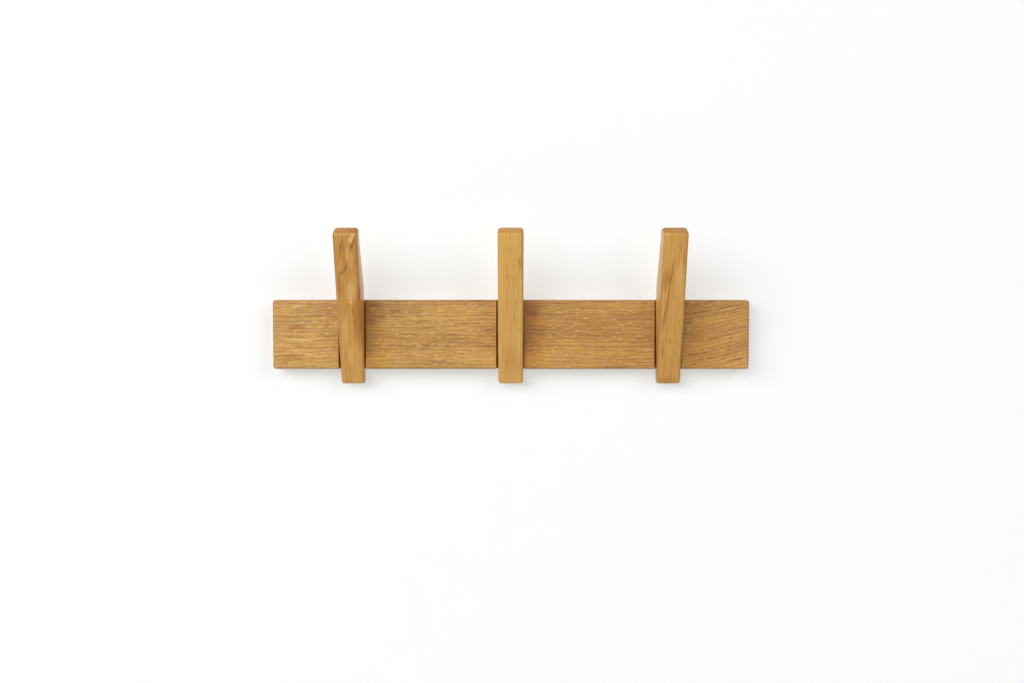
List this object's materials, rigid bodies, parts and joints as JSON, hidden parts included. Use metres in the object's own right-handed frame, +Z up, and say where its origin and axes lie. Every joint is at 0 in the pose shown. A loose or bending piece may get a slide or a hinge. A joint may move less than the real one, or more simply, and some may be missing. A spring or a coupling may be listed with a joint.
{
  "type": "wall coat rack",
  "caption": "Oak wall coat rack: a flat rail with leaning pegs set in housings across its front, hung on keyhole plates let into its back.",
  "frame": {"origin": "middle of the rail's back face, on the wall", "axes": "+X along the rail to the right as seen from the front, +Y into the wall, +Z up"},
  "size_m": [0.48, 0.0773, 0.1557],
  "materials": {
    "rail_oak": "oiled",
    "peg_oak": "oiled",
    "zinc_steel": "zinc plated",
    "plate_steel": "satin"
  },
  "bodies": {
    "root": {"rail": "rail_oak", "peg_left": "peg_oak", "peg_centre": "peg_oak", "peg_right": "peg_oak", "peg_screw_left_upper": "zinc_steel", "peg_screw_left_lower": "zinc_steel", "peg_screw_centre_upper": "zinc_steel", "peg_screw_centre_lower": "zinc_steel", "peg_screw_right_upper": "zinc_steel", "peg_screw_right_lower": "zinc_steel", "hanger_plate_left": "plate_steel", "hanger_plate_right": "plate_steel", "hanger_screw_left_upper": "zinc_steel", "hanger_screw_left_lower": "zinc_steel", "hanger_screw_right_upper": "zinc_steel", "hanger_screw_right_lower": "zinc_steel"}
  },
  "joints": []
}
